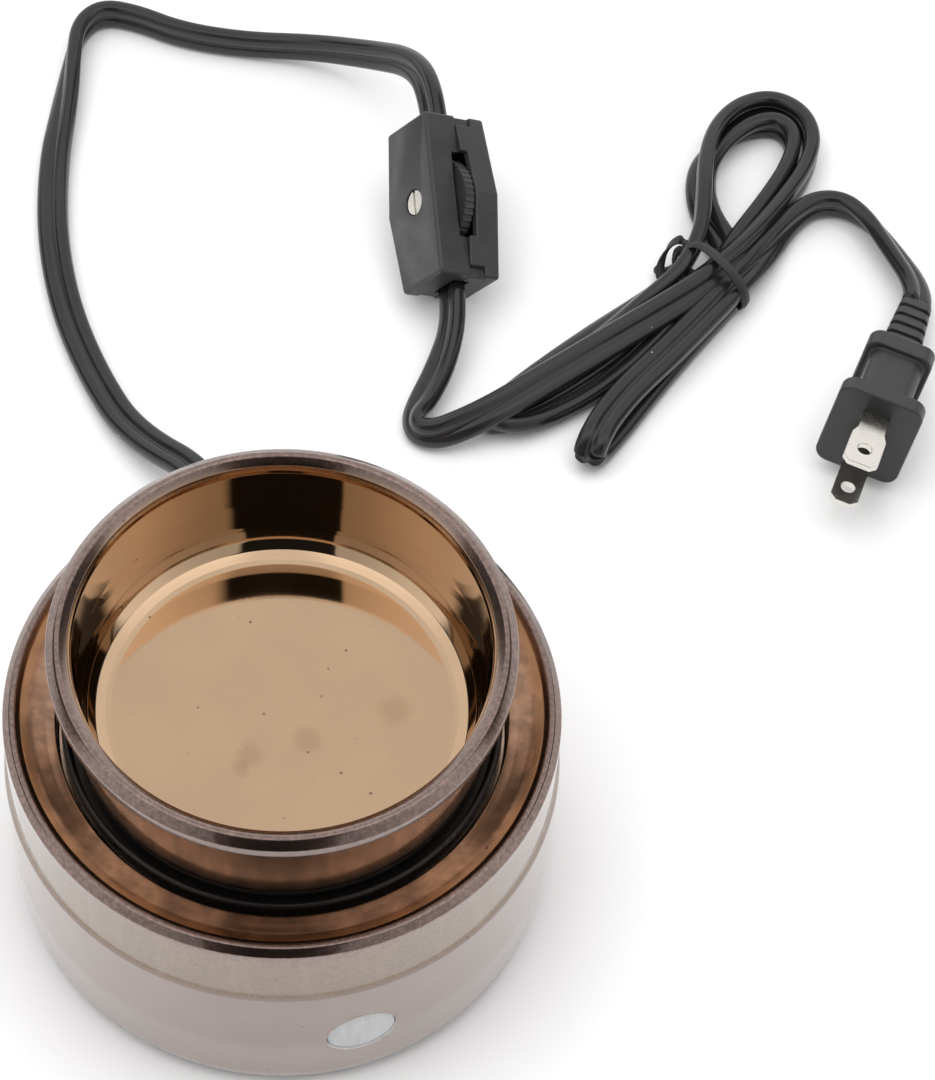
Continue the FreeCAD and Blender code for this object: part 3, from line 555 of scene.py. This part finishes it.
# %% [markdown]
# ## The lamp's lens
# A milky disc shows the lamp's glow. It is turned like the pot, then its mesh is turned to face out
# of the wall, so the object itself stays at the origin.

# %% Lens
def milky():
    material, tree, shader = new_finish("milky_plastic", (0.52, 0.525, 0.54), 0.42)
    coords = add(tree, "ShaderNodeTexCoord").outputs["Object"]
    slant = add(tree, "ShaderNodeMapping", {"Vector": coords, "Rotation": (0.4, 0.9, 0.2),
                                            "Scale": (1.0, 1.0, 0.16)}).outputs[0]
    strokes = grain(tree, 700.0, 3.0, 0.6, slant)
    tree.links.new(mix_colour(tree, strokes, (0.40, 0.405, 0.42), (0.62, 0.62, 0.63)),
                   shader.inputs["Base Color"])
    bump(tree, shader, strokes, 0.45, 0.00025)
    return material


LENS_OUTLINE = [(0, 48.0, 0, 0), (8.2, 48.0, 0.3, 0), (8.2, 49.6, 0.3, 0), (6.95, 49.6, 0, 0),
                (6.95, 55.15, 0.35, 0), (5.2, 55.95, 2.0, 0), (2.6, 56.15, 2.0, 0), (0, 56.2, 0, 0)]
lens = turn_on_lathe("lamp_lens", LENS_OUTLINE, milky(), 96, 0.6)
lens.data.transform(facing(LAMP_TURN, LAMP_UP))
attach(lens, "base")
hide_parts("indicator_lens")

# %% [markdown]
# ## Moulded parts from the CAD
# The switch case and the plug have the right shape already. A copy of each mesh is merged into one
# skin, its sharp edges get a small bevel so that they catch the light, and its flat sides stay flat.

# %% Softened copies
SHARP_ANGLE = math.radians(30)      # edges sharper than this stay edges


def softened(name, node, material, width):
    mesh = nodes[node].data.copy()
    mesh.name = name
    work = bmesh.new()
    work.from_mesh(mesh)
    bmesh.ops.remove_doubles(work, verts=work.verts, dist=0.000002)
    bmesh.ops.dissolve_limit(work, angle_limit=math.radians(0.6), verts=work.verts, edges=work.edges)
    for face in work.faces:
        face.smooth = True
    work.to_mesh(mesh)
    work.free()
    mesh.materials.clear()
    mesh.materials.append(material)
    piece = bpy.data.objects.new(name, mesh)
    scene.collection.objects.link(piece)
    mesh.set_sharp_from_angle(angle=SHARP_ANGLE)
    edge = piece.modifiers.new("edges", "BEVEL")
    edge.width, edge.segments, edge.limit_method = width, 2, "ANGLE"
    edge.angle_limit = SHARP_ANGLE
    edge.use_clamp_overlap = True
    edge.harden_normals = True
    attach(piece, "base")
    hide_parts(node)
    return piece


soft = {}
for node, material, slot, width in (
        ("switch_case_far", SWITCH_BLACK, "switch_plastic", 0.0005),
        ("switch_case_near", SWITCH_BLACK, "switch_plastic", 0.0005),
        ("plug_body", PLUG_BLACK, "plug_black", 0.0007),
        ("cord_relief", PLUG_BLACK, "cord_black", 0.0002),
        ("blade_neutral", NICKEL, "nickel", 0.0002), ("blade_live", NICKEL, "nickel", 0.0002),
        ("switch_screw", NICKEL, "nickel", 0.00012)):
    soft[node] = softened(node + "_soft", node, material, width)
print("softened copies:", ", ".join(soft))

# %% [markdown]
# ## Ribbed tail of the plug
# Where the lead enters the plug, a row of ribs lets it bend without kinking. The ribs repeat and
# shrink towards the lead, so a node tree makes them: one rib is copied along a line, a slimmer core
# joins the copies, and the whole is narrowed with its height.

# %% Ribbed tail as a node tree
def tail_tree():
    tree = bpy.data.node_groups.new("ribbed_tail", "GeometryNodeTree")
    face = tree.interface
    face.new_socket("Blank", in_out="INPUT", socket_type="NodeSocketGeometry")
    for name, value in (("Length", 0.024), ("Width at Plug", 0.010), ("Width at Lead", 0.0072),
                        ("Thickness", 0.72), ("Rib Share", 0.70), ("Core", 0.80)):
        face.new_socket(name, in_out="INPUT", socket_type="NodeSocketFloat").default_value = value
    face.new_socket("Ribs", in_out="INPUT", socket_type="NodeSocketInt").default_value = 8
    face.new_socket("Material", in_out="INPUT", socket_type="NodeSocketMaterial")
    face.new_socket("Tail", in_out="OUTPUT", socket_type="NodeSocketGeometry")
    given = tree.nodes.new("NodeGroupInput").outputs

    def number(operation, a, b=0.0):
        return math_node(tree, operation, a, b)

    def bar(length, wide, thick):
        """A bar along Z with a rounded rectangular section, closed at both ends."""
        top = add(tree, "ShaderNodeCombineXYZ", {2: length}).outputs[0]
        line = add(tree, "GeometryNodeCurvePrimitiveLine", {"End": top}).outputs[0]
        plain_section = add(tree, "GeometryNodeCurvePrimitiveQuadrilateral",
                            {"Width": wide, "Height": thick}).outputs[0]
        section = add(tree, "GeometryNodeFilletCurve", {"Curve": plain_section, "Radius": 0.20,
                                                        "Count": 5}, mode="POLY").outputs[0]
        return add(tree, "GeometryNodeCurveToMesh", {"Curve": line, "Profile Curve": section,
                                                     "Fill Caps": True}).outputs[0]

    pitch = number("DIVIDE", given["Length"], given["Ribs"])
    rib = bar(number("MULTIPLY", pitch, given["Rib Share"]), 1.0, given["Thickness"])
    core = bar(given["Length"], given["Core"], number("MULTIPLY", given["Thickness"], given["Core"]))
    step = add(tree, "ShaderNodeCombineXYZ", {2: pitch}).outputs[0]
    row = add(tree, "GeometryNodeMeshLine", {"Count": given["Ribs"], "Offset": step}).outputs[0]
    ribs = add(tree, "GeometryNodeInstanceOnPoints", {"Points": row, "Instance": rib}).outputs[0]
    both = add(tree, "GeometryNodeJoinGeometry")
    tree.links.new(ribs, both.inputs[0])
    tree.links.new(core, both.inputs[0])
    real = add(tree, "GeometryNodeRealizeInstances", {"Geometry": both.outputs[0]}).outputs[0]
    spot = add(tree, "ShaderNodeSeparateXYZ", {0: add(tree, "GeometryNodeInputPosition").outputs[0]})
    wide = add(tree, "ShaderNodeMapRange", {"Value": spot.outputs[2], "From Max": given["Length"],
                                            "To Min": given["Width at Plug"],
                                            "To Max": given["Width at Lead"]}).outputs[0]
    narrowed = add(tree, "ShaderNodeCombineXYZ", {0: number("MULTIPLY", spot.outputs[0], wide),
                                                  1: number("MULTIPLY", spot.outputs[1], wide),
                                                  2: spot.outputs[2]}).outputs[0]
    moved = add(tree, "GeometryNodeSetPosition", {"Geometry": real, "Position": narrowed}).outputs[0]
    coated = add(tree, "GeometryNodeSetMaterial", {"Geometry": moved, "Material": given["Material"]})
    add(tree, "NodeGroupOutput", {0: coated.outputs[0]})
    return tree


TAIL = tail_tree()

# %% Plug tail
PLUG_FACE = Vector((0.1303, 0.0947, 0.01537))
PLUG_BACK = Vector((0.350, 0.918, -0.180)).normalized()
PLUG_SIDE = PLUG_BACK.cross(Vector((0.170, 0.130, 0.977))).normalized()
TAIL_START = 0.0224
TAIL_LENGTH = 0.0242


def make_tail():
    blank = bpy.data.objects.new("tail_blank", bpy.data.meshes.new("tail_blank"))
    scene.collection.objects.link(blank)
    modifier = blank.modifiers.new("tail", "NODES")
    modifier.node_group = TAIL
    fill_inputs(modifier, TAIL, {"Length": TAIL_LENGTH, "Width at Plug": 0.0102, "Width at Lead": 0.0072,
                                 "Thickness": 0.74, "Rib Share": 0.68, "Core": 0.82, "Ribs": 7,
                                 "Material": PLUG_BLACK})
    piece = baked("plug_tail", blank)
    turn = Matrix((PLUG_SIDE, PLUG_SIDE.cross(PLUG_BACK), PLUG_BACK)).transposed().to_4x4()
    piece.data.transform(Matrix.Translation(PLUG_FACE + PLUG_BACK * TAIL_START) @ turn)
    work = bmesh.new()
    work.from_mesh(piece.data)
    bmesh.ops.recalc_face_normals(work, faces=work.faces)
    work.to_mesh(piece.data)
    work.free()
    piece.data.set_sharp_from_angle(angle=math.radians(40))
    edge = piece.modifiers.new("edges", "BEVEL")
    edge.width, edge.segments, edge.limit_method = 0.0002, 2, "ANGLE"
    edge.angle_limit = math.radians(40)
    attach(piece, "base")
    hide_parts("plug_relief")
    print("plug tail:", len(piece.data.polygons), "faces")
    return piece


plug_tail = make_tail()

# %% [markdown]
# ## The flat twin lead
# The lead is two round cores side by side with a groove between them, moulded in one. It lies flat
# where it is straight and stands on edge where it turns, because it only bends easily across its
# thickness. So the route holds four numbers at each point: where it is, and how far its wide side
# has rolled. One NURBS spline goes through the places and a second one through the rolls; the
# section is then swept along both.

# %% Centreline and roll
CORE_RADIUS = 0.00185
WEB_HALF = 0.00105         # half the thickness at the groove


def spline_points(name, controls, per_run):
    """Points along one NURBS spline with these control points."""
    curve = bpy.data.curves.new(name, "CURVE")
    curve.dimensions = "3D"
    curve.resolution_u = per_run
    line = curve.splines.new("NURBS")
    line.points.add(len(controls) - 1)
    for point, place in zip(line.points, controls):
        point.co = (*place, 1.0)
    line.order_u = 3
    line.use_endpoint_u = True
    holder = bpy.data.objects.new(name, curve)
    mesh = bpy.data.meshes.new_from_object(holder)
    points = [v.co.copy() for v in mesh.vertices]
    bpy.data.objects.remove(holder)
    bpy.data.curves.remove(curve)
    bpy.data.meshes.remove(mesh)
    return points


def twin_section():
    """Two lobes with flattened faces and a deep groove; the wide side runs along the first number."""
    outline = []
    for core in (1, -1):
        for step in range(21):
            angle = math.radians(-132 + 13.2 * step)
            bulge = (abs(math.cos(angle)) ** 2.7 + abs(math.sin(angle)) ** 2.7) ** (-1 / 2.7)
            outline.append((core * CORE_RADIUS * (1 + bulge * math.cos(angle)),
                            core * CORE_RADIUS * bulge * math.sin(angle)))
        outline.append((0.0, core * WEB_HALF))
    return outline


def new_piece(name, verts, faces, material):
    mesh = bpy.data.meshes.new(name)
    mesh.from_pydata(verts, [], faces)
    mesh.materials.append(material)
    for polygon in mesh.polygons:
        polygon.use_smooth = True
    piece = bpy.data.objects.new(name, mesh)
    scene.collection.objects.link(piece)
    work = bmesh.new()
    work.from_mesh(mesh)
    bmesh.ops.recalc_face_normals(work, faces=work.faces)
    work.to_mesh(mesh)
    work.free()
    return piece


def tube_faces(rings, count):
    """The faces of a tube of rings with this many corners each, closed at both ends."""
    faces = []
    for i in range(rings - 1):
        for k in range(count):
            a, b = i * count + k, i * count + (k + 1) % count
            faces.append((a, b, b + count, a + count))
    faces.append(tuple(range(count))[::-1])
    faces.append(tuple(range((rings - 1) * count, rings * count)))
    return faces


def sweep(name, path, rolls, section, material):
    """A closed tube with this section along path; roll is in degrees from lying flat."""
    verts = []
    for i, here in enumerate(path):
        ahead = path[min(i + 1, len(path) - 1)] - path[max(i - 1, 0)]
        ahead.normalize()
        flat = ahead.cross(Vector((0, 0, 1))).normalized()
        lift = flat.cross(ahead)
        roll = math.radians(rolls[i])
        wide = flat * math.cos(roll) + lift * math.sin(roll)
        thin = ahead.cross(wide)
        verts += [here + wide * a + thin * b for a, b in section]
    return new_piece(name, verts, tube_faces(len(path), len(section)), material)


def length_of(path):
    return sum((b - a).length for a, b in zip(path, path[1:]))


def lay_lead(name, route, replaced, per_run, **facts):
    path = spline_points(name, [p[:3] for p in route], per_run)
    turns = [(p[3] / 1000, 0, 0) for p in route]
    rolls = [p.x * 1000 for p in spline_points(name + "_roll", turns, per_run)]
    for here, roll in zip(path, rolls):          # nothing sinks into the table
        here.z = max(here.z, CORE_RADIUS * (1.02 + abs(math.sin(math.radians(roll)))))
    piece = sweep(name, path, rolls, twin_section(), LEAD_BLACK)
    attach(piece, "base")
    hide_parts(*replaced)
    print(name, "length", round(length_of(path), 4), "points", len(path))
    return piece


# %% Lead from the pot to the switch
POT_LEAD = [
    (-0.01250, 0.07091, 0.01250, 0), (-0.01500, 0.08509, 0.01250, 0), (-0.0340, 0.1032, 0.0040, 0),
    (-0.0430, 0.1205, 0.0021, 0), (-0.0504, 0.1402, 0.0020, 5), (-0.0544, 0.1620, 0.0020, 10),
    (-0.0548, 0.1845, 0.0021, 20), (-0.0526, 0.2025, 0.0026, 45), (-0.0514, 0.2165, 0.0034, 75),
    (-0.0500, 0.2260, 0.0038, 90), (-0.0446, 0.2314, 0.0039, 90), (-0.0360, 0.2296, 0.0038, 90),
    (-0.0246, 0.2238, 0.0038, 90), (-0.0088, 0.2204, 0.0040, 88), (0.0076, 0.2178, 0.0060, 90),
    (0.0216, 0.2096, 0.0125, 95), (0.0312, 0.2002, 0.0205, 105), (0.03503, 0.1878, 0.02453, 120),
    (0.03583, 0.17865, 0.02173, 120)]
lead_to_switch = lay_lead(
    "lead_to_switch", POT_LEAD, ["cord_lead"], 12, length=0.288, far_end="fitting",
    with_pieces=[soft["switch_case_far"], soft["switch_case_near"], soft["switch_screw"],
                 "switch_nut", "switch_wheel"])

# %% [markdown]
# The second lead leaves the switch, turns back on itself and makes the hank: five strands go under
# the tie, with two open loops on one side and two folds on the other. The last strand leaves the
# hank and bends over to the plug.

# %% Lead from the switch through the hank to the plug
HANK_LEAD = [
    (0.03917, 0.14055, 0.01003, 120), (0.03983, 0.13293, 0.00769, 120), (0.0364, 0.1214, 0.0050, 150),
    (0.0324, 0.1130, 0.0040, 150), (0.0299, 0.1082, 0.0040, 120), (0.0304, 0.1040, 0.0042, 95),
    (0.0350, 0.1026, 0.0048, 110), (0.0416, 0.1044, 0.0065, 140),
    # first run, up to the outer loop
    (0.0500, 0.1085, 0.0080, 155), (0.0620, 0.1170, 0.0082, 155), (0.0740, 0.1256, 0.0080, 155),
    (0.0860, 0.1342, 0.0078, 150), (0.0960, 0.1418, 0.0076, 140), (0.1048, 0.1501, 0.0072, 130),
    (0.1122, 0.1589, 0.0064, 115), (0.1189, 0.1690, 0.0054, 100), (0.1249, 0.1792, 0.0048, 90),
    (0.1278, 0.1890, 0.0044, 90), (0.1256, 0.1972, 0.0042, 90), (0.1188, 0.2018, 0.0042, 90),
    (0.1108, 0.1994, 0.0046, 90), (0.1045, 0.1920, 0.0058, 90), (0.1008, 0.1812, 0.0076, 90),
    (0.0996, 0.1692, 0.0084, 90), (0.0984, 0.1584, 0.0076, 92), (0.0930, 0.1484, 0.0054, 105),
    # second run and the near fold
    (0.0835, 0.1410, 0.0040, 120), (0.0725, 0.1318, 0.0030, 150), (0.0605, 0.1218, 0.0026, 160),
    (0.0508, 0.1138, 0.0028, 130), (0.0466, 0.1096, 0.0034, 95), (0.0478, 0.1060, 0.0034, 75),
    (0.0534, 0.1066, 0.0028, 40), (0.0618, 0.1108, 0.0024, 25), (0.0722, 0.1180, 0.0024, 20),
    (0.0822, 0.1272, 0.0026, 30), (0.0914, 0.1376, 0.0030, 50), (0.0992, 0.1480, 0.0034, 60),
    # inner loop
    (0.1062, 0.1596, 0.0040, 70), (0.1138, 0.1696, 0.0042, 80), (0.1206, 0.1800, 0.0042, 90),
    (0.1234, 0.1893, 0.0040, 90), (0.1204, 0.1951, 0.0038, 90), (0.1140, 0.1949, 0.0036, 100),
    (0.1066, 0.1902, 0.0032, 120), (0.1012, 0.1836, 0.0026, 140), (0.0996, 0.1758, 0.0022, 150),
    (0.1004, 0.1676, 0.0022, 150), (0.1042, 0.1594, 0.0022, 160), (0.1066, 0.1516, 0.0022, 170),
    # fourth run, the far fold and the fifth run
    (0.1046, 0.1438, 0.0022, 180), (0.0986, 0.1366, 0.0021, 180), (0.0914, 0.1276, 0.0020, 180),
    (0.0838, 0.1174, 0.0020, 180), (0.0772, 0.1080, 0.0020, 180), (0.0728, 0.1020, 0.0020, 180),
    (0.0700, 0.0984, 0.0027, 180), (0.0692, 0.0974, 0.0052, 180), (0.0706, 0.1002, 0.0075, 180),
    (0.0736, 0.1062, 0.0070, 180), (0.0798, 0.1148, 0.0066, 180), (0.0884, 0.1242, 0.0064, 180),
    (0.0976, 0.1350, 0.0062, 180), (0.1048, 0.1438, 0.0060, 180), (0.1100, 0.1508, 0.0050, 165),
    # over to the plug
    (0.1146, 0.1572, 0.0044, 130), (0.1208, 0.1656, 0.0042, 100), (0.1268, 0.1704, 0.0042, 90),
    (0.1334, 0.1700, 0.0042, 85), (0.1388, 0.1648, 0.0044, 65), (0.1428, 0.1566, 0.0048, 50),
    (0.14856, 0.14258, 0.00598, 40), (0.14663, 0.13753, 0.00697, 35)]

# %% [markdown]
# ## The tie
# A coated wire ribbon goes once round the five strands. Its two ends are twisted together and
# folded back beside the hank. Each is a narrow flat section swept along its own smooth line.

# %% Tie round the hank
TIE_AT = Vector((0.1009, 0.1478, 0.0))
TIE_TURN = math.radians(48)
ALONG = Vector((math.cos(TIE_TURN), math.sin(TIE_TURN), 0))
ACROSS = Vector((-math.sin(TIE_TURN), math.cos(TIE_TURN), 0))


def at_tie(along, across, up):
    """A place given in millimetres along the strands, across them and up."""
    return TIE_AT + (ALONG * along + ACROSS * across + Vector((0, 0, up))) / 1000


def ribbon_section(wide, thick):
    """A flat ribbon with a bead of wire in its middle."""
    return [(-wide, 0), (-wide * 0.8, thick * 0.6), (-wide * 0.35, thick * 0.62), (-wide * 0.2, thick),
            (wide * 0.2, thick), (wide * 0.35, thick * 0.62), (wide * 0.8, thick * 0.6), (wide, 0),
            (wide * 0.8, -thick * 0.6), (-wide * 0.8, -thick * 0.6)]


def ribbon(places, wide, thick, twist):
    """A ribbon along places whose flat side faces away from the tie's middle, then twists."""
    path = spline_points("ribbon", [at_tie(*p) for p in places], 8)
    middle = at_tie(0, 0, 5.0)
    section = ribbon_section(wide, thick)
    verts = []
    for i, here in enumerate(path):
        ahead = (path[min(i + 1, len(path) - 1)] - path[max(i - 1, 0)]).normalized()
        out = here - middle
        out -= ahead * out.dot(ahead)
        out.normalize()
        out = Matrix.Rotation(math.radians(twist * i / len(path)), 3, ahead) @ out
        side = ahead.cross(out)
        verts += [here + side * a + out * b for a, b in section]
    return verts, tube_faces(len(path), len(section))


TIE_LOOP = [(0, 8.6, 6.4), (0.2, 7.8, 10.2), (0.4, 5.0, 12.0), (0.2, 0.6, 12.0), (-0.2, -4.6, 10.8),
            (-0.6, -8.4, 8.2), (-0.8, -10.2, 5.0), (-0.6, -9.4, 1.4), (-0.2, -6.0, 0.6), (0, 0, 0.5),
            (0, 5.0, 0.6), (-0.2, 8.4, 1.0), (-0.4, 9.2, 3.4), (-0.6, 9.2, 6.6)]
TAIL_ONE = [(-0.6, 8.8, 6.4), (0.6, 9.6, 8.4), (1.6, 10.8, 8.2), (0.2, 12.2, 7.6), (-2.4, 12.4, 6.8),
            (-4.8, 11.9, 4.6), (-7.0, 10.6, 2.8), (-7.4, 8.8, 2.0)]
TAIL_TWO = [(-0.4, 9.2, 5.6), (0.8, 10.2, 6.6), (-0.2, 10.8, 6.2), (-2.0, 10.2, 5.2), (-3.4, 9.4, 4.0),
            (-5.0, 10.4, 2.8), (-6.2, 12.0, 2.0), (-5.2, 13.0, 1.7)]


def make_tie():
    verts, faces = [], []
    for places, wide, thick, twist in ((TIE_LOOP, 0.0013, 0.0005, 0), (TAIL_ONE, 0.0011, 0.0005, 300),
                                       (TAIL_TWO, 0.0008, 0.0004, -340)):
        more, sides = ribbon(places, wide, thick, twist)
        faces += [tuple(i + len(verts) for i in side) for side in sides]
        verts += more
    piece = new_piece("twist_tie", verts, faces, TIE_BLACK)
    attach(piece, "base")
    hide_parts("cord_tie")
    return piece


twist_tie = make_tie()
lead_to_plug = lay_lead(
    "lead_to_plug", HANK_LEAD, ["cord_link", "cord_hank", "cord_end"], 8, length=0.705,
    far_end="plug", with_pieces=[soft["plug_body"], plug_tail, soft["blade_neutral"],
                                 soft["blade_live"], twist_tie])

# %% [markdown]
# ## Parts that stay as the CAD made them
# The thumbwheel, the feet, the cover and everything inside keep their CAD meshes. Each gets a
# finish of its own kind.

# %% Finishes of the other parts
OTHER = {
    "heating_pan": plain("black_pan", (0.018, 0.016, 0.015), 0.32, 0.6, 700.0, 0.2, 0.1),
    "pan_gasket": plain("gasket_red", (0.30, 0.05, 0.03), 0.7),
    "heating_element": plain("element_steel", (0.45, 0.42, 0.39), 0.4, 1.0, 500.0),
    "mica_sheet": plain("mica", (0.62, 0.56, 0.42), 0.35, 0.0, 250.0, 0.2),
    "insulation_pad": plain("glass_felt", (0.82, 0.81, 0.76), 0.95, 0.0, 1400.0, 0.1, 0.5),
    "base_cover": plain("cover_black", (0.030, 0.030, 0.031), 0.55, 0.0, 1600.0, 0.25, 0.3),
    "cord_clamp": plain("clamp_black", (0.035, 0.035, 0.036), 0.5),
    "rubber_feet": plain("foot_rubber", (0.045, 0.045, 0.045), 0.8, 0.0, 1200.0, 0.2, 0.3),
    "lamp_holder": plain("holder_white", (0.75, 0.74, 0.70), 0.6),
    "neon_lamp": plain("neon_glass", (0.85, 0.55, 0.38), 0.08),
    "lamp_resistor": plain("resistor_tan", (0.62, 0.48, 0.32), 0.5),
    "fuse_sleeve": plain("woven_sleeve", (0.80, 0.78, 0.70), 0.8, 0.0, 1500.0, 0.15, 0.5),
    "crimp_caps": plain("crimp_white", (0.80, 0.80, 0.78), 0.45),
    "cord_cores": LEAD_BLACK, "switch_wheel": SWITCH_BLACK,
    "switch_nut": NICKEL, "wheel_contact": plain("contact_brass", (0.62, 0.42, 0.15), 0.3, 1.0),
}
OTHER["switch_contacts"] = OTHER["wheel_contact"]
OTHER["wire_live"] = OTHER["wire_neutral"] = plain("sleeved_wire", (0.78, 0.75, 0.68), 0.7, 0.0, 1500.0)
ZINC = plain("zinc_steel", (0.58, 0.57, 0.55), 0.35, 1.0, 800.0)
for name in ("clamp_bracket", "centre_stud", "stud_washer", "stud_nut", "thermal_fuse", "clamp_screws",
             "cover_nut"):
    OTHER[name] = ZINC
for name, material in OTHER.items():
    for slot in nodes[name].material_slots:
        slot.material = material
print(len(OTHER), "CAD parts refinished")
